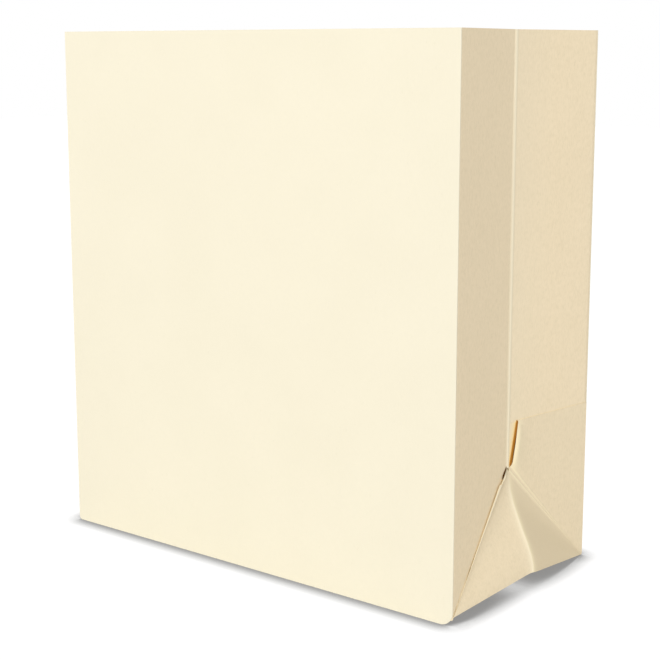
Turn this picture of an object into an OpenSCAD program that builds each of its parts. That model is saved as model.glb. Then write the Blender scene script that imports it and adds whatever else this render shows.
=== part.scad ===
// Expanding file jacket: two panels joined by folded gusset strips at the sides and the bottom.
// Every facet between two creases is a stiff sheet, and every crease line is the axis of a hinge.
// The jacket stands on the table, with X across the panels, Y from front to back and Z up.

/* [Panels] */
// Width of the front and back panels
panel_w = 260; // [200:1:380]
// Height of the panels
panel_h = 279; // [220:1:380]
// Thickness of the manila stock
sheet_t = 0.45; // [0.3:0.05:0.8]
// Corner radius of the panels at the lower right
right_corner_r = 7; // [3:0.5:12]
// Corner radius of the panels at the lower left
left_corner_r = 2; // [1:0.5:12]

/* [Gussets] */
// Full width of a gusset strip, which is the greatest expansion
gusset_w = 127; // [80:1:160]
// Angle by which each half of a gusset is folded in as the jacket stands
rest_angle = 9; // [4:0.5:16]
// Width of the glue flaps inside the panels
flap_w = 22; // [10:1:32]
// Distance of the side strips below the top edge of the panels
strip_drop = 0; // [0:0.5:10]
// Distance of a flap's end below the end of its strip
flap_end = 6; // [2:0.5:20]

/* [Corner folds] */
// Height of the top edge of the corner tabs above the table
tab_top = 85; // [80:1:120]
// Width of the open slit between a corner tab and the centre crease
slit_w = 4.5; // [2:0.5:8]
// Distance by which a corner triangle bulges out of the side
corner_bulge = 7; // [6:0.5:12]
// Height of the mitre crease above the corner of the creases
mitre_rise = 2.5; // [2:0.5:5]
// Length cut off the sharp tip of a corner triangle
tip_cut = 10; // [6:0.5:16]

/* [Fits] */
// Setback of a facet from its crease line
crease_gap = 0.35; // [0.2:0.05:0.8]
// Clear height between the bottom strip and the table
floor_gap = 0.3; // [0.1:0.05:1]
// Width of panel edge that stands out past a side strip
edge_lip = 0.5; // [0.2:0.1:2]
// Setback of a side strip's mitred end from the corner of the creases
mitre_gap = 2; // [1.5:0.1:4]
// Setback of a corner tab's lower edge from the mitre crease
tab_gap = 3.5; // [2.5:0.5:6]
// Setback of a corner triangle from the mitre crease
triangle_gap = 1.5; // [0.8:0.1:3]
// Setback of a corner triangle from the middle crease at the top
middle_gap = 1.8; // [1.4:0.1:4]
// Setback of a corner triangle from the middle crease at the bottom
middle_gap_low = 3.8; // [3:0.1:6]
// Setback of the bottom strip's ends from the side strips
end_gap = 1.5; // [0.8:0.1:4]
// Further setback of the bottom strip's ends at the centre crease
end_taper = 2; // [0:0.5:5]

/* [Hidden] */

// Colours of the outer faces and of the folded strips
panel_colour = "#fbf4db";
gusset_colour = "#e9dbba";
corner_colour = "#e4d4b4";

// A gusset half runs from a panel crease to the centre crease
half_w = gusset_w / 2;
fold_sin = sin(rest_angle);
fold_cos = cos(rest_angle);

// Crease lines: the panel creases lie on the inner faces of the flaps
crease_x = panel_w / 2 - sheet_t - edge_lip;
crease_y = half_w * fold_cos + sheet_t * fold_sin;
crease_z = sheet_t + floor_gap;
strip_top = panel_h - strip_drop;

// Directions on the right rear quarter: along a side half, and out of it
side_run = [-fold_sin, -fold_cos, 0];
side_out = [fold_cos, -fold_sin, 0];
upward = [0, 0, 1];
bottom_run = [0, -fold_cos, fold_sin];
crosswise = [1, 0, 0];
side_crease = [crease_x, crease_y, 0];
bottom_crease = [0, crease_y, crease_z];

// The mitre crease of a corner lies on the outer face of the corner tab
function on_tab(run, rise) = side_crease + run * side_run + 2 * sheet_t * side_out + rise * upward;
mitre_low = on_tab(0, crease_z + mitre_rise);
mitre_high = on_tab(half_w, crease_z + half_w + mitre_rise);
middle_low = [crease_x + corner_bulge, 0, crease_z + half_w * fold_sin - sheet_t * fold_cos];

// Axes of a corner triangle's own plane, with its first axis along the mitre crease
function unit(v) = v / norm(v);
triangle_x = unit(mitre_high - mitre_low);
middle_reach = middle_low - mitre_low;
triangle_y = unit(middle_reach - (middle_reach * triangle_x) * triangle_x);
mitre_length = norm(mitre_high - mitre_low);
middle_point = [middle_reach * triangle_x, middle_reach * triangle_y];

// Points of the triangle, worked in from its three edges
function along(a, b, length) = a + length * unit(b - a);
function across(a, b) = [a.y - b.y, b.x - a.x] / norm(b - a);
function shift(line, distance) = [for (p = line) p + distance * across(line[0], line[1])];
function shift_ends(line, near, far) =
    [line[0] + near * across(line[0], line[1]), line[1] + far * across(line[0], line[1])];
function cross2(a, b) = a.x * b.y - a.y * b.x;
function meet(one, two) =
    let (d1 = one[1] - one[0], d2 = two[1] - two[0])
    one[0] + d1 * cross2(two[0] - one[0], d2) / cross2(d1, d2);

mitre_edge = shift([[0, 0], [mitre_length, 0]], triangle_gap);
middle_edge = shift_ends([[mitre_length, 0], middle_point], middle_gap, middle_gap_low);
lower_edge = shift([middle_point, [0, 0]], crease_gap * 2);
triangle_top = meet(mitre_edge, middle_edge);
triangle_foot = meet(middle_edge, lower_edge);
triangle_tip = meet(lower_edge, mitre_edge);

// Sheet of paper with its outline in the plane of two directions from a point
module sheet_on(origin, run, rise, low, high) {
    outward = cross(run, rise);
    multmatrix([
        [run.x, rise.x, outward.x, origin.x],
        [run.y, rise.y, outward.y, origin.y],
        [run.z, rise.z, outward.z, origin.z],
        [0, 0, 0, 1]
    ])
        translate([0, 0, low])
            linear_extrude(high - low)
                children();
}

// Left or right, front or rear: the quarter is drawn at the right rear and mirrored
module on_left() {
    mirror([1, 0, 0]) children();
}

module at_front() {
    mirror([0, 1, 0]) children();
}

// Panel with a straight top edge and rounded lower corners
module panel() {
    color(panel_colour)
        sheet_on([0, crease_y + sheet_t, 0], crosswise, upward, -sheet_t, 0)
            panel_outline();
}

module panel_outline() {
    difference() {
        translate([-panel_w / 2, 0]) square([panel_w, panel_h]);
        corner_waste(panel_w / 2, right_corner_r, 1);
        corner_waste(-panel_w / 2, left_corner_r, -1);
    }
}

// Waste that a die cuts off a square corner to leave it round
module corner_waste(edge_x, radius, side) {
    centre = [edge_x - side * radius, radius];
    difference() {
        translate([min(edge_x, centre.x), 0]) square([radius, radius]);
        translate(centre) circle(radius, $fn = 64);
    }
}

// Half of a side strip, cut off along the mitre at its lower end
module side_half() {
    near = crease_gap;
    far = half_w - crease_gap;
    color(gusset_colour)
        sheet_on(side_crease, side_run, upward, -sheet_t, 0)
            polygon([
                [near, crease_z + near + mitre_gap],
                [far, crease_z + far + mitre_gap],
                [far, strip_top],
                [near, strip_top]
            ]);
}

// Glue flap of a side strip, inside the panel and mitred over the bottom flap
module side_flap() {
    near = crease_gap;
    far = flap_w;
    color(gusset_colour)
        sheet_on(side_crease, -crosswise, upward, 0, sheet_t)
            polygon([
                [near, crease_z + near + mitre_gap],
                [far, crease_z + far + mitre_gap],
                [far, strip_top - flap_end],
                [near, strip_top]
            ]);
}

// Half of the bottom strip, as long as the panels are wide
module bottom_half() {
    near = crease_gap;
    far = half_w - crease_gap;
    near_x = crease_x - end_gap;
    far_x = near_x - end_taper;
    color(gusset_colour)
        sheet_on(bottom_crease, crosswise, bottom_run, 0, sheet_t)
            polygon([[-near_x, near], [near_x, near], [far_x, far], [-far_x, far]]);
}

// Glue flap of the bottom strip, with mitred ends
module bottom_flap() {
    near = crease_gap;
    far = flap_w;
    near_x = crease_x - near - mitre_gap;
    far_x = crease_x - far - mitre_gap;
    color(gusset_colour)
        sheet_on(bottom_crease, crosswise, upward, -sheet_t, 0)
            polygon([[-near_x, near], [near_x, near], [far_x, far], [-far_x, far]]);
}

// End of the bottom strip that is turned up and glued to the rear half of the side strip
module corner_tab() {
    near = crease_gap * 3;
    far = half_w - slit_w;
    foot = crease_z + mitre_rise + tab_gap;
    color(corner_colour)
        sheet_on(side_crease, side_run, upward, -2 * sheet_t, -sheet_t)
            polygon([
                [near, foot + near],
                [far, foot + far],
                [far, tab_top],
                [near, tab_top]
            ]);
}

// Triangle between the mitre crease and the middle crease, turned out over the end of the bottom
module corner_triangle() {
    color(corner_colour)
        sheet_on(mitre_low, triangle_x, triangle_y, -sheet_t, 0)
            polygon([
                along(triangle_tip, triangle_top, tip_cut),
                triangle_top,
                triangle_foot,
                along(triangle_tip, triangle_foot, tip_cut)
            ]);
}

module front_panel() {
    at_front() panel();
}

module back_panel() {
    panel();
}

module right_side_front_flap() {
    at_front() side_flap();
}

module right_side_front_half() {
    at_front() side_half();
}

module right_side_rear_half() {
    side_half();
}

module right_side_rear_flap() {
    side_flap();
}

module left_side_front_flap() {
    on_left() at_front() side_flap();
}

module left_side_front_half() {
    on_left() at_front() side_half();
}

module left_side_rear_half() {
    on_left() side_half();
}

module left_side_rear_flap() {
    on_left() side_flap();
}

module bottom_front_flap() {
    at_front() bottom_flap();
}

module bottom_front_half() {
    at_front() bottom_half();
}

module bottom_rear_half() {
    bottom_half();
}

module bottom_rear_flap() {
    bottom_flap();
}

module right_corner_tab() {
    corner_tab();
}

module right_rear_triangle() {
    corner_triangle();
}

module right_front_triangle() {
    at_front() corner_triangle();
}

module left_corner_tab() {
    on_left() corner_tab();
}

module left_rear_triangle() {
    on_left() corner_triangle();
}

module left_front_triangle() {
    on_left() at_front() corner_triangle();
}

front_panel();
back_panel();
right_side_front_flap();
right_side_front_half();
right_side_rear_half();
right_side_rear_flap();
left_side_front_flap();
left_side_front_half();
left_side_rear_half();
left_side_rear_flap();
bottom_front_flap();
bottom_front_half();
bottom_rear_half();
bottom_rear_flap();
right_corner_tab();
right_rear_triangle();
right_front_triangle();
left_corner_tab();
left_rear_triangle();
left_front_triangle();
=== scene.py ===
import math

import bmesh
import bpy
from mathutils import Matrix, Vector


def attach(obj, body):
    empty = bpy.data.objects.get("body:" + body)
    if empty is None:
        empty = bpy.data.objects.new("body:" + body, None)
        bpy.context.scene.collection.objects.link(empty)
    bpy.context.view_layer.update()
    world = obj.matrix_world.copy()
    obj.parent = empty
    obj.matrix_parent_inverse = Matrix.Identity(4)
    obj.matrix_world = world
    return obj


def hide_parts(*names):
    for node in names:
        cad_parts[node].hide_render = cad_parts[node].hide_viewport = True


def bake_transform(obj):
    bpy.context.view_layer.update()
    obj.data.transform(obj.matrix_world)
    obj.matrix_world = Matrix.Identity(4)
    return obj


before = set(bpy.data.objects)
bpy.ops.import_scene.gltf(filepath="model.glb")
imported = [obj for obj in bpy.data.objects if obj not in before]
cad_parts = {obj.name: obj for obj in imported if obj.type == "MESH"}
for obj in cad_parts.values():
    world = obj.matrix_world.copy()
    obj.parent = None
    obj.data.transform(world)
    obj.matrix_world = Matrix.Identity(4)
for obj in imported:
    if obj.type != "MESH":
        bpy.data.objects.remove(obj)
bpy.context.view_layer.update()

# Studio: a white table top under a white sky, with one broad, distant lamp beside the camera.
# The camera looks a little down on the right-hand edge of the front panel, as in a catalogue picture.
scene = bpy.context.scene
scene.view_settings.view_transform = "Standard"

camera_azimuth = math.radians(38.279)
camera_tilt = math.radians(10.030)
camera_place = (0.4836, -0.6055, 0.2697)
camera = bpy.data.objects.new("camera", bpy.data.cameras.new("camera"))
camera.data.lens = 78.55
camera.data.shift_y = -0.04
camera.location = camera_place
camera.rotation_euler = (math.pi / 2 - camera_tilt, 0, camera_azimuth)
scene.collection.objects.link(camera)
scene.camera = camera


def node_tree(owner):
    """The owner's empty node tree, and short ways to add a node and a link."""
    owner.use_nodes = True
    tree = owner.node_tree
    tree.nodes.clear()

    def add(kind, **settings):
        node = tree.nodes.new("ShaderNode" + kind)
        for key, value in settings.items():
            setattr(node, key, value)
        return node

    return add, tree.links.new


def seen_directly(add, link):
    """1 for rays from the camera, in mirrors and through glass, and 0 for the light on surfaces."""
    path = add("LightPath")
    total = path.outputs["Is Camera Ray"]
    for name in ("Is Glossy Ray", "Is Transmission Ray"):
        either = add("Math", operation="MAXIMUM")
        link(total, either.inputs[0])
        link(path.outputs[name], either.inputs[1])
        total = either.outputs[0]
    return total


sky_colour, sky_light = (1.0, 0.985, 0.96, 1), 0.66
lamp_light, lamp_spread, lamp_direction = 1.43, 26, (-0.39, 0.91, -0.14)
sky = bpy.data.worlds.new("studio_sky")
scene.world = sky
add, link = node_tree(sky)
sky_glow, sky_white = add("Background"), add("Background")
sky_glow.inputs["Color"].default_value = sky_colour
sky_glow.inputs["Strength"].default_value = sky_light
sky_white.inputs["Color"].default_value = (1, 1, 1, 1)
sky_mix, sky_out = add("MixShader"), add("OutputWorld")
link(seen_directly(add, link), sky_mix.inputs[0])
link(sky_glow.outputs[0], sky_mix.inputs[1])
link(sky_white.outputs[0], sky_mix.inputs[2])
link(sky_mix.outputs[0], sky_out.inputs["Surface"])

lamp_data = bpy.data.lights.new("soft_box", "SUN")
lamp_data.energy = lamp_light
lamp_data.angle = math.radians(lamp_spread)
lamp = bpy.data.objects.new("soft_box", lamp_data)
lamp.rotation_euler = Vector(lamp_direction).to_track_quat("-Z", "Y").to_euler()
scene.collection.objects.link(lamp)

# Table top: matt white, wide enough to fill every view. Close under the paper it keeps a thin shadow,
# and further out it is as white as the sky.
shadow_reach = 0.0113
shadow_steps = ((0.50, 0.25), (0.61, 0.325), (0.69, 0.455), (0.80, 0.62), (0.93, 0.84), (1.0, 0.97))
seen_grey, lit_grey = 0.12, 0.86
table_mesh = bpy.data.meshes.new("table_top")
bm = bmesh.new()
bmesh.ops.create_grid(bm, x_segments=1, y_segments=1, size=4)
bm.to_mesh(table_mesh)
bm.free()
table_top = bpy.data.objects.new("table_top", table_mesh)
scene.collection.objects.link(table_top)


def set_steps(ramp, steps):
    """Gives a colour ramp its steps, each with a position and a colour."""
    elements = ramp.color_ramp.elements
    for position, _ in steps[1:-1]:
        elements.new(position)
    for element, (position, colour) in zip(elements, steps):
        element.position, element.color = position, (*colour, 1)


table_white = bpy.data.materials.new("table_white")
add, link = node_tree(table_white)
near_paper = add("AmbientOcclusion", samples=16)
near_paper.inputs["Distance"].default_value = shadow_reach
shadow_tone = add("ValToRGB")
set_steps(shadow_tone, [(position, (grey, grey, grey)) for position, grey in shadow_steps])
link(near_paper.outputs["AO"], shadow_tone.inputs[0])
table_glow, table_matt, table_lit = add("Emission"), add("BsdfDiffuse"), add("BsdfDiffuse")
table_matt.inputs["Color"].default_value = (seen_grey, seen_grey, seen_grey, 1)
table_lit.inputs["Color"].default_value = (lit_grey, lit_grey, lit_grey, 1)
link(shadow_tone.outputs[0], table_glow.inputs["Color"])
table_seen, table_mix, table_out = add("AddShader"), add("MixShader"), add("OutputMaterial")
link(table_glow.outputs[0], table_seen.inputs[0])
link(table_matt.outputs[0], table_seen.inputs[1])
link(seen_directly(add, link), table_mix.inputs[0])
link(table_lit.outputs[0], table_mix.inputs[1])
link(table_seen.outputs[0], table_mix.inputs[2])
link(table_mix.outputs[0], table_out.inputs["Surface"])
table_mesh.materials.append(table_white)

# Front and back panels: two cards of manila stock, die-cut square at the top with rounded lower corners.
# The gusset strips are glued to their inner faces, and the middle of each card bows out very slightly.
sheet_t = 0.00045
front_w, back_w, panel_h = 0.2594, 0.2584, 0.279
panel_face_y = 0.06369
front_corner_r, small_corner_r = 0.007, 0.002
panel_bow, bow_height = 0.0005, 1.4 * panel_h
panel_colour = (0.930, 0.872, 0.697)
# Paler tone of creases, ridges and free edges: partly wear, partly painted highlight where they catch the
# light.
crease_wear_highlight = (0.995, 0.897, 0.675)


def tinted(colour, factor):
    """The colour made darker or paler, with a little more change in its blue, as paper has."""
    return (colour[0] * factor, colour[1] * factor, colour[2] * factor ** 1.3, 1)


def manila_stock(name, colour, grain, fleck=0.12, wear_highlight_tone=crease_wear_highlight):
    """Matt buff paper: clouded pulp, fibres, darker flecks, painted shade, and creases paler from wear and
    painted highlight.
    """
    stock = bpy.data.materials.new(name)
    add, link = node_tree(stock)
    place = add("TexCoord").outputs["Object"]

    def pulp(scale, detail, low, high, stretch=(1, 1, 1)):
        spread = add("Mapping")
        spread.inputs["Scale"].default_value = stretch
        noise = add("TexNoise")
        noise.inputs["Scale"].default_value = scale
        noise.inputs["Detail"].default_value = detail
        levels = add("MapRange")
        levels.inputs["From Min"].default_value = low
        levels.inputs["From Max"].default_value = high
        link(place, spread.inputs["Vector"])
        link(spread.outputs[0], noise.inputs["Vector"])
        link(noise.outputs["Fac"], levels.inputs["Value"])
        return levels.outputs["Result"]

    def blend_in(below, above, share):
        mix = add("Mix", data_type="RGBA")
        for value, socket in ((below, mix.inputs[6]), (above, mix.inputs[7])):
            if isinstance(value, tuple):
                socket.default_value = value
            else:
                link(value, socket)
        link(share, mix.inputs[0])
        return mix.outputs[2]

    def times(value, amount):
        scaled = add("Math", operation="MULTIPLY")
        link(value, scaled.inputs[0])
        scaled.inputs[1].default_value = amount
        return scaled.outputs[0]

    clouds = pulp(scale=22, detail=3, low=0.35, high=0.65)
    formation = pulp(scale=420, detail=3, low=0.3, high=0.7)
    fibres = pulp(scale=1500, detail=2, low=0.35, high=0.65, stretch=(1, 1, 0.3))
    flecks = pulp(scale=700, detail=1, low=0.72, high=0.80, stretch=(1, 1, 0.5))
    wear_and_highlight = add("Attribute", attribute_name="wear_and_highlight")
    painted_shade = add("Attribute", attribute_name="painted_shade")
    tone = blend_in(tinted(colour, 0.985), tinted(colour, 1.012), clouds)
    tone = blend_in(tone, tinted(colour, 1 - grain), times(formation, 0.6))
    tone = blend_in(tone, tinted(colour, 1 + grain * 0.6), times(fibres, 0.5))
    tone = blend_in(tone, tinted(colour, 0.80), times(flecks, fleck))
    # Painted shade: the attribute set on the rear triangles draws the paper about 6% darker.
    tone = blend_in(tone, tinted(colour, 0.93), times(painted_shade.outputs["Fac"], 0.8))
    # Wear and painted highlight: creases, ridges and free edges are drawn in the paler tone.
    tone = blend_in(tone, (*wear_highlight_tone, 1), wear_and_highlight.outputs["Fac"])
    relief = add("Bump")
    relief.inputs["Strength"].default_value = 0.25
    relief.inputs["Distance"].default_value = 0.00005
    link(fibres, relief.inputs["Height"])
    paper, out = add("BsdfPrincipled"), add("OutputMaterial")
    paper.inputs["Roughness"].default_value = 0.82
    paper.inputs["Specular IOR Level"].default_value = 0.25
    link(tone, paper.inputs["Base Color"])
    link(relief.outputs[0], paper.inputs["Normal"])
    link(paper.outputs[0], out.inputs["Surface"])
    return stock


def paper_sheet(name, bm, stock, cut_edge, outward):
    """A piece of paper from the mesh of one face, thickened away from outward or towards it."""
    mesh = bpy.data.meshes.new(name)
    bm.normal_update()
    for edge in bm.edges:
        edge.smooth = not edge.is_boundary
    for face in bm.faces:
        face.smooth = True
    bm.to_mesh(mesh)
    bm.free()
    mesh.materials.append(stock)
    mesh.materials.append(cut_edge)
    piece = bpy.data.objects.new(name, mesh)
    scene.collection.objects.link(piece)
    thickness = piece.modifiers.new("thickness", "SOLIDIFY")
    thickness.thickness = sheet_t
    thickness.offset = 1 if outward else -1
    thickness.use_even_offset = True
    thickness.material_offset_rim = 1
    return piece


panel_stock = manila_stock("panel_manila", panel_colour, grain=0.012)
panel_edge = manila_stock("panel_cut_edge", tuple(c * 0.97 for c in panel_colour), grain=0.04)

for name, node, body, side, panel_w, right_corner_r in (
    ("front_panel_card", "front_panel", "front", -1, front_w, front_corner_r),
    ("back_panel_card", "back_panel", "back", 1, back_w, small_corner_r),
):
    bm = bmesh.new()
    bmesh.ops.create_grid(bm, x_segments=14, y_segments=16, size=0.5)
    bmesh.ops.scale(bm, vec=(panel_w, panel_h, 1), verts=bm.verts)
    bmesh.ops.rotate(bm, matrix=Matrix.Rotation(math.pi / 2, 3, "X"), verts=bm.verts)
    bmesh.ops.translate(bm, vec=(0, side * panel_face_y, panel_h / 2), verts=bm.verts)
    for corner_x, radius in ((panel_w / 2, right_corner_r), (-panel_w / 2, small_corner_r)):
        corner = min(bm.verts, key=lambda v: (v.co - Vector((corner_x, v.co.y, 0))).length)
        bmesh.ops.bevel(bm, geom=[corner], offset=radius, segments=10, profile=0.5,
                        affect="VERTICES", material=-1)
    for vert in bm.verts:
        across = 1 - (2 * vert.co.x / panel_w) ** 2
        vert.co.y += side * panel_bow * across ** 2 * math.sin(math.pi * vert.co.z / bow_height)
    if side > 0:
        bmesh.ops.reverse_faces(bm, faces=bm.faces)
    card = paper_sheet(name, bm, panel_stock, panel_edge, outward=False)
    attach(card, body)
    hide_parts(node)

# Side gusset strips: each is one long strip of the same stock, scored and folded along its middle.
# The two halves hinge on the soft centre crease, and the turned edges go in behind the panels.
crease_x, crease_y = 0.12905, 0.0627886
rest_angle = math.radians(9)
half_reach = crease_y / math.cos(rest_angle)
centre_x = crease_x - crease_y * math.tan(rest_angle)
crease_band = 0.0023
crease_bead = 0.00045
turned_edge, edge_bend, edge_wear = 0.0007, 0.3, 0.15
strip_foot, strip_peak = 0.0030, 0.0620
# Painted shade: the gusset paper is drawn warmer and about 6% darker than the panels', for the warm shade
# on the sides.
gusset_shaded_colour = (0.951, 0.810, 0.577)
gusset_stock = manila_stock("gusset_manila", gusset_shaded_colour, grain=0.10, fleck=0.3)
gusset_edge = manila_stock("gusset_cut_edge", tuple(c * 0.95 for c in gusset_shaded_colour), grain=0.05)


def score(bm, place, across=(0, 1, 0)):
    """A line pressed into the blank, where it can fold."""
    bmesh.ops.bisect_plane(bm, geom=bm.verts[:] + bm.edges[:] + bm.faces[:], dist=1e-7,
                           plane_co=place, plane_no=across)


def fold(bm, y, angle):
    """Turns all of the blank beyond a score line about that line."""
    turned = [v for v in bm.verts if v.co.y * y > 0 and abs(v.co.y) > abs(y) + 1e-7]
    bmesh.ops.rotate(bm, cent=(0, y, 0), matrix=Matrix.Rotation(angle, 3, "Z"), verts=turned)


def scored_blank(low, high):
    """A flat strip in the YZ plane with its score lines, and a pressed bead along the middle."""
    bm = bmesh.new()
    bmesh.ops.create_grid(bm, x_segments=2, y_segments=1, size=0.5)
    width = 2 * (half_reach + turned_edge)
    stand = Matrix(((0, 0, 1, 0), (width, 0, 0, 0), (0, high - low, 0, (high + low) / 2), (0, 0, 0, 1)))
    bmesh.ops.transform(bm, matrix=stand, verts=bm.verts)
    # The bead's wear values also paint a highlight along the crease.
    bead = {  # share of the band: height in front and behind, wear in front and behind
        0: (0.8, 0.8, 1, 1), 0.22: (1, 1, 1, 1), 0.5: (0, 0.55, 0.5, 0.5), 0.9: (0, 0, 0, 0.22),
    }
    edge_lines = [half_reach + d * turned_edge for d in (-3, -edge_bend, 0, edge_bend)]
    for y in [b * crease_band for b in bead] + [half_reach / 2] + edge_lines:
        for side in (1, -1):
            score(bm, (0, side * y, 0))
    wear_and_highlight = bm.verts.layers.float.new("wear_and_highlight")
    for vert in bm.verts:
        for share, (front_height, rear_height, front_wear_highlight, rear_wear_highlight) in bead.items():
            if abs(abs(vert.co.y) - share * crease_band) < 1e-6:
                vert.co.x += crease_bead * (rear_height if vert.co.y > 0 else front_height)
                vert[wear_and_highlight] = rear_wear_highlight if vert.co.y > 0 else front_wear_highlight
        if abs(vert.co.y) > half_reach - turned_edge:
            vert[wear_and_highlight] = edge_wear
    return bm


def fold_up(bm):
    """Turns the edges in and folds both halves out, from the far lines to the near ones."""
    turn = (math.pi / 2 - rest_angle) / 3
    for y, angle in ((half_reach + edge_bend * turned_edge, turn), (half_reach, turn),
                     (half_reach - edge_bend * turned_edge, turn), (crease_band / 2, -rest_angle)):
        fold(bm, y, angle)
        fold(bm, -y, -angle)


for hand, side in (("right", 1), ("left", -1)):
    bm = scored_blank(strip_foot, panel_h)
    slope = (strip_peak - strip_foot) / half_reach
    for end in (1, -1):
        half = [f for f in bm.faces if end * f.calc_center_median().y > 0]
        parts = half + list({e for f in half for e in f.edges}) + list({v for f in half for v in f.verts})
        bmesh.ops.bisect_plane(bm, geom=parts, dist=1e-7, plane_co=(0, 0, strip_peak),
                               plane_no=(0, -end * slope, -1))
    middles = {f: f.calc_center_median() for f in bm.faces}
    offcut = [f for f, middle in middles.items() if middle.z < strip_peak - slope * abs(middle.y)]
    bmesh.ops.delete(bm, geom=offcut, context="FACES")
    fold_up(bm)
    bmesh.ops.translate(bm, vec=(centre_x, 0, 0), verts=bm.verts)
    if side < 0:
        bmesh.ops.scale(bm, vec=(-1, 1, 1), verts=bm.verts)
        bmesh.ops.reverse_faces(bm, faces=bm.faces)
    strip = paper_sheet(hand + "_side_strip", bm, gusset_stock, gusset_edge, outward=True)
    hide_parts(hand + "_side_rear_half", hand + "_side_front_half")
    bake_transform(strip)

# Bottom gusset strip: the third strip, folded up along its middle in the same way, so the jacket
# stands on the lower edges of its panels. Its ends meet the corner folds from inside, and at the front
# on the right the corner is pulled up.
bottom_z = 0.00075
bottom_edge_x, bottom_centre_x = 0.1283, 0.1356
raised_from, raised_y, raised_by, trimmed_by = 0.100, 0.0518, 0.0033, 0.0051
bm = scored_blank(-bottom_centre_x, bottom_centre_x)
fold_up(bm)
lay = Matrix(((0, 0, 1, 0), (0, 1, 0, 0), (-1, 0, 0, 0), (0, 0, 0, 1)))
bmesh.ops.transform(bm, matrix=lay, verts=bm.verts)
bmesh.ops.translate(bm, vec=(0, 0, bottom_z + crease_y * math.tan(rest_angle)), verts=bm.verts)
score(bm, (raised_from, 0, 0), across=(1, 0, 0))
score(bm, (0, -raised_y, 0))
for vert in bm.verts:
    if abs(vert.co.x) < raised_from + 0.001:
        continue
    outward = min(1, abs(vert.co.y) / crease_y)
    corner = vert.co.x > 0 and vert.co.y < 0
    vert.co.x *= (bottom_edge_x * outward + bottom_centre_x * (1 - outward)) / bottom_centre_x
    if corner:
        by_panel = max(0, (outward * crease_y - raised_y) / (crease_y - raised_y))
        vert.co.z += raised_by * min(outward * crease_y / raised_y, 1 - by_panel)
        vert.co.x -= trimmed_by * by_panel
bottom_strip = paper_sheet("bottom_strip", bm, gusset_stock, gusset_edge, outward=True)
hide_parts("bottom_rear_half", "bottom_front_half")
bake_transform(bottom_strip)

# Corner folds: each end of the bottom strip is turned up outside the side strip, like the corner of a
# paper bag. The tab is glued to the rear half, its free edge lifts beside the centre crease, and two
# triangles below it meet at a ridge that stands out.
tab_top, tab_start = 0.085, -0.0003
tab_layer, leaf_layer = sheet_t + 0.00009, sheet_t
# The lifted free edges, score lines and ridges are drawn pale: wear, with painted highlight.
edge_highlight_fade, lift_fade, roll_share, roll_fade = 20, 14, -0.7, 120
score_rise, score_fade = 0.00025, 0.3
# Painted shade: the tab and rear triangle are drawn in paper about 3% darker than the front triangle's,
# though all are one strip.
shaded_corner_colour, corner_wear_highlight = (0.910, 0.780, 0.556), (0.995, 0.890, 0.620)
leaf_colour, cut_colour = (0.937, 0.805, 0.576), (0.98, 0.86, 0.58)
shaded_corner_stock = manila_stock("corner_manila_shaded", shaded_corner_colour, grain=0.10, fleck=0.3, wear_highlight_tone=corner_wear_highlight)
leaf_stock = manila_stock("leaf_manila", leaf_colour, grain=0.10, fleck=0.3)
corner_edge = manila_stock("corner_cut_edge", cut_colour, grain=0.03)
side_run = Vector((-math.sin(rest_angle), -math.cos(rest_angle), 0))
side_out = Vector((math.cos(rest_angle), -math.sin(rest_angle), 0))
rear_crease = Vector((crease_x, crease_y, 0))


def on_tab(run, height, layer=tab_layer):
    """A point on the right-hand corner tab, from its distance along the rear half and its height."""
    return rear_crease + run * side_run + layer * side_out + Vector((0, 0, height))


def to_front(point):
    """The same point on the front half."""
    return Vector((point.x, -point.y, point.z))


# The ridge from its top to the table: where each point lies, its wear and painted highlight, its share of
# the bend.
ridge_points = (
    (0.1201, 0.0010, 0.0570, 0.5, 0.2), (0.1212, 0.0008, 0.0505, 0.8, 0.5),
    (0.1234, 0.0005, 0.0440, 1, 0.8), (0.1263, 0.0003, 0.0375, 1, 1), (0.1294, 0, 0.0310, 1, 1),
    (0.1324, 0, 0.0250, 1, 1), (0.1348, 0, 0.0190, 1, 1), (0.1361, 0, 0.0140, 1, 1),
    (0.1363, 0, 0.0102, 1, 1),
)
ridge_highlight_fade = 40


def ridge(bend, fade):
    """The crest rows of the ridge, for a triangle that bends by so much just beside it."""
    return [(Vector((x - bend * part, y, z)), wear_highlight, ridge_highlight_fade, ((bend * part, fade),))
            for x, y, z, wear_highlight, part in ridge_points]


def tab_row(run, height, wear_highlight=0, wear_highlight_fade=1, lifts=((0, 1),)):
    """A crest row of the tab: its point, its wear with painted highlight and its lifts off the strip, with
    how fast they fade.
    """
    return on_tab(run, height), wear_highlight, wear_highlight_fade, lifts


def free_edge(run, height, lift, wear_highlight=1):
    """A crest row on the lifted edge, whose last half millimetre is rolled over; it is drawn pale as wear
    and painted highlight.
    """
    return tab_row(run, height, wear_highlight, edge_highlight_fade, ((lift, lift_fade), (roll_share * lift, roll_fade)))


def score_line(run, height):
    """A crest row where a pressed line runs down to the tip, drawn pale as wear and painted highlight."""
    return tab_row(run, height, 1, score_fade, ((score_rise, score_fade),))


def leaf_row(run, height, wear_highlight, wear_highlight_fade, lift, fade):
    """A crest row along the top of the front triangle, with one lift and how fast it fades."""
    return to_front(on_tab(run, height, leaf_layer)), wear_highlight, wear_highlight_fade, ((lift, fade),)


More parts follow.
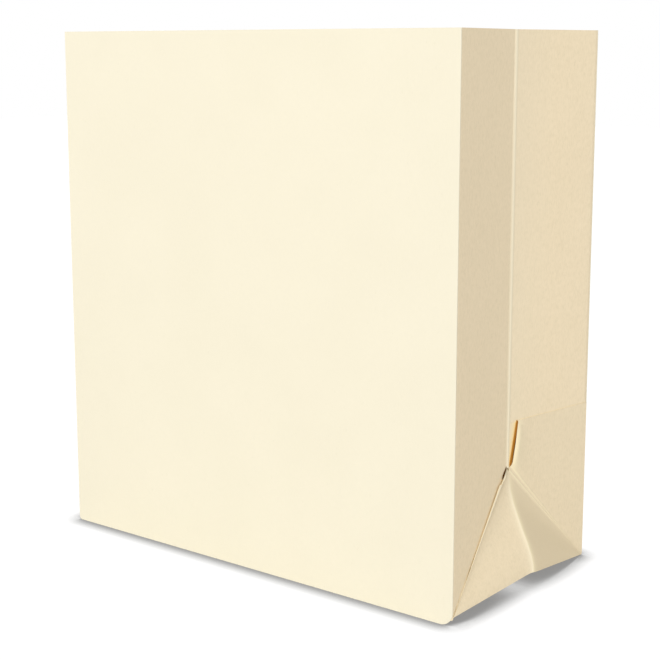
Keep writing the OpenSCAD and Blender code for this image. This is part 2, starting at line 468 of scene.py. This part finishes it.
mitre_top = (0.0620, 0.0608)
tab_crest = [
    tab_row(tab_start, tab_top), tab_row(0.02, tab_top), tab_row(0.04, tab_top), tab_row(0.052, tab_top),
    free_edge(0.0558, tab_top, 0.0008, wear_highlight=0.5), free_edge(0.0571, 0.0790, 0.0020),
    free_edge(0.0582, 0.0735, 0.0024), free_edge(0.0593, 0.0680, 0.0023),
    free_edge(0.0599, 0.0640, 0.0017), free_edge(0.0604, 0.0626, 0.0008),
    score_line(0.0610, 0.0620), tab_row(0.0615, 0.0618), tab_row(*mitre_top),
    score_line(0.0624, 0.0602), tab_row(0.0627, 0.0596),
]
leaf_crest = [
    leaf_row(0.0530, 0.0556, 1, 0.2, 0.0009, 0.7), leaf_row(0.0542, 0.0556, 0.6, 0.2, 0.0013, 0.7),
    leaf_row(0.0555, 0.0560, 0.6, 30, 0.0013, 1), leaf_row(0.0585, 0.0577, 0.8, 30, 0.0014, 4),
    leaf_row(0.0625, 0.0612, 0.8, 30, 0.0010, 4),
]
rear_tip = on_tab(tab_start, 0.0004)
front_tip_layer = sheet_t + 0.0001
front_tip_height = {1: 0.0044, -1: 0.0016}
front_tip = {side: to_front(on_tab(0, height, front_tip_layer))
             for side, height in front_tip_height.items()}
rings = (0.985, 0.96, 0.92, 0.86, 0.78, 0.66, 0.5, 0.34, 0.18, 0.006)


def set_on_side(bm, side):
    """Mirrors a right-hand sheet for the left, and turns its faces outwards."""
    if side < 0:
        bmesh.ops.scale(bm, vec=(-1, 1, 1), verts=bm.verts)
    bm.normal_update()
    if sum(f.normal.x * f.calc_area() for f in bm.faces) * side < 0:
        bmesh.ops.reverse_faces(bm, faces=bm.faces)


def paper_fan(top_rows, ridge_rows, tip, side, painted_shade_share):
    """A sheet between a crest line and a sharp tip: the crest is drawn in to the tip ring by ring."""
    crest = top_rows + ridge_rows
    bm = bmesh.new()
    wear_and_highlight = bm.verts.layers.float.new("wear_and_highlight")
    painted_shade = bm.verts.layers.float.new("painted_shade")
    verts = [bm.verts.new(row[0]) for row in crest]
    edges = [bm.edges.new(pair) for pair in zip(verts, verts[1:])]
    shares = dict.fromkeys(verts, 1)
    before = 1
    for ring in rings:
        made = bmesh.ops.extrude_edge_only(bm, edges=edges)["geom"]
        edges = [e for e in made if isinstance(e, bmesh.types.BMEdge)]
        moved = [v for v in made if isinstance(v, bmesh.types.BMVert)]
        bmesh.ops.scale(bm, vec=(ring / before,) * 3, space=Matrix.Translation(-tip), verts=moved)
        shares.update(dict.fromkeys(moved, ring))
        before = ring
    for vert, share in shares.items():
        start = tip + (vert.co - tip) / share
        row = min(crest, key=lambda row: (row[0] - start).length)
        _, wear_highlight, wear_highlight_fade, lifts = row
        # Wear with painted highlight, fading from the crest towards the tip.
        vert[wear_and_highlight] = wear_highlight * share ** wear_highlight_fade
        # The rows of the ridge take the painted shade, so the rear triangle is drawn darker.
        vert[painted_shade] = painted_shade_share if row in ridge_rows else 0
        vert.co.x += sum(lift * share ** fade for lift, fade in lifts)
    set_on_side(bm, side)
    return bm


for hand, side in (("right", 1), ("left", -1)):
    # The tab sheet's rear triangle is drawn darker as painted shade; the front triangle's leaf is not.
    bm = paper_fan(tab_crest, ridge(bend=-0.0004, fade=60), rear_tip, side, painted_shade_share=1)
    tab = paper_sheet(hand + "_corner_tab_sheet", bm, shaded_corner_stock, corner_edge,
                      outward=False)
    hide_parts(hand + "_corner_tab", hand + "_rear_triangle")
    middle_of_mitre = (rear_tip + on_tab(*mitre_top)) / 2
    middle_of_mitre.x *= side
    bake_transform(tab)

    bm = paper_fan(leaf_crest, ridge(bend=0.0007, fade=50), front_tip[side], side, painted_shade_share=0)
    leaf = paper_sheet(hand + "_front_corner_leaf", bm, leaf_stock, corner_edge,
                       outward=False)
    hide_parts(hand + "_front_triangle")
    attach(leaf, hand + "_front_corner")

# Glue lines: a bead of amber glue along the free edge of each corner tab, thinning out to a pale film
# towards the centre crease. It is drawn dark beside the tab: partly dried glue, partly painted shade of the
# slit.
# A last dark drop under the top of the front triangle is painted shade of the hole there.
glue_film = 0.0001
film_depth, bead_depth = 0.17, 0.43
line_run, line_lean, line_top, line_length = 0.0567, 0.0051, 0.0855, 0.0241
film_gap, bead_reach, bead_w = 0.0004, 0.0013, 0.0030
film_rise, bead_rise = 0.00006, 0.0003
drop_run, drop_length, drop_top, drop_fall, drop_w = 0.0628, 0.0052, 0.0616, 0.0041, 0.0026
drop_layer = sheet_t + 0.00012
end_taper = 22
amber_glue_and_shade = bpy.data.materials.new("amber_glue_and_shade")
add, link = node_tree(amber_glue_and_shade)
glue_and_shade_depth = add("Attribute", attribute_name="darkness")
glue_and_shade_tone = add("ValToRGB")
glue_and_shade_steps = ((0.0, (0.960, 0.815, 0.575)), (0.10, (0.97, 0.815, 0.54)), (0.17, (1.0, 0.80, 0.42)),
              (0.22, (0.93, 0.60, 0.25)), (0.29, (0.46, 0.19, 0.018)), (0.6, (0.38, 0.15, 0.012)),
              (1.0, (0.14, 0.055, 0.001)))
set_steps(glue_and_shade_tone, glue_and_shade_steps)
link(glue_and_shade_depth.outputs["Fac"], glue_and_shade_tone.inputs[0])
glue_shine, glue_out = add("BsdfPrincipled"), add("OutputMaterial")
glue_shine.inputs["Roughness"].default_value = 0.6
glue_shine.inputs["Specular IOR Level"].default_value = 0.15
link(glue_and_shade_tone.outputs[0], glue_shine.inputs["Base Color"])
link(glue_shine.outputs[0], glue_out.inputs["Surface"])


def glue_and_shade_sheet(name, place, depth, side):
    """A thin film from where its points lie and how dark it is drawn there: dried glue, with painted shade
    where darkest.
    """
    bm = bmesh.new()
    bmesh.ops.create_grid(bm, x_segments=8, y_segments=14, size=0.5)
    darkness = bm.verts.layers.float.new("darkness")
    for vert in bm.verts:
        across, along = vert.co.x + 0.5, 0.5 - vert.co.y
        vert[darkness] = depth(across)
        vert.co = place(across, along, min(1, along * end_taper, (1 - along) * end_taper) ** 0.5)
    set_on_side(bm, side)
    glue = paper_sheet(name, bm, amber_glue_and_shade, amber_glue_and_shade, outward=False)
    glue.modifiers["thickness"].thickness = glue_film
    return glue


def line_place(across, along, taper):
    """The line follows the tab's edge: the first half of it is the film, the second half the bead."""
    middle = line_run + line_lean * along
    film_edge, bead_edge = half_reach - film_gap, middle + bead_reach
    bead = max(0, 2 * across - 1)
    run = film_edge + (bead_edge - film_edge) * min(1, 2 * across) - bead_w * bead
    crown = film_rise + bead_rise * math.sin(math.pi * bead)
    return on_tab(middle + (run - middle) * taper, line_top - line_length * along, sheet_t + crown * taper)


def line_depth(across):
    """Pale at the film's edge, amber where it meets the bead, and darker through the bead, which is partly
    painted shade.
    """
    return film_depth * min(1, 2 * across) + bead_depth * max(0, 2 * across - 1)


def drop_place(across, along, taper):
    """The drop follows the top of the front triangle."""
    height = drop_top - drop_fall * along + drop_w * (0.5 - across) * taper
    return to_front(on_tab(drop_run - drop_length * along, height, drop_layer))


def drop_shade(across):
    """The drop is dark all over: painted shade of the hole under the top of the front triangle."""
    return 1


for hand, side in (("right", 1), ("left", -1)):
    line = glue_and_shade_sheet(hand + "_glue_line", line_place, line_depth, side)
    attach(line, hand + "_rear")
    # A dark sheet where there is only the shadowed hole: painted shade.
    drop = glue_and_shade_sheet(hand + "_shade_drop", drop_place, drop_shade, side)
    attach(drop, hand + "_front")

# Glue flaps: the outer edges of the three strips, turned in behind the panels and glued flat there.
# Their ends are cut at a slant, so the side flaps clear the bottom ones.
flap_w = 0.022
flap_end = 0.006
mitre_gap = 0.002
for face, body in ((1, "back"), (-1, "front")):
    where = "rear" if face > 0 else "front"
    outlines = {"bottom_" + where + "_flap": [
        (-crease_x + mitre_gap, bottom_z + turned_edge),
        (crease_x - mitre_gap, bottom_z + turned_edge),
        (crease_x - flap_w - mitre_gap, bottom_z + flap_w),
        (-crease_x + flap_w + mitre_gap, bottom_z + flap_w),
    ]}
    for hand, side in (("right", 1), ("left", -1)):
        edge_x, inner_x = side * (crease_x - turned_edge), side * (crease_x - flap_w)
        outlines[hand + "_side_" + where + "_flap"] = [
            (edge_x, bottom_z + mitre_gap + turned_edge), (edge_x, panel_h),
            (inner_x, panel_h - flap_end), (inner_x, bottom_z + mitre_gap + flap_w),
        ]
    for node, outline in outlines.items():
        bm = bmesh.new()
        bm.faces.new([bm.verts.new((x, face * crease_y, z)) for x, z in outline])
        bm.normal_update()
        bm.faces.ensure_lookup_table()
        if bm.faces[0].normal.y * face < 0:
            bmesh.ops.reverse_faces(bm, faces=bm.faces)
        flap = paper_sheet(node + "_sheet", bm, gusset_stock, gusset_edge, outward=True)
        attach(flap, body)
        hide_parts(node)
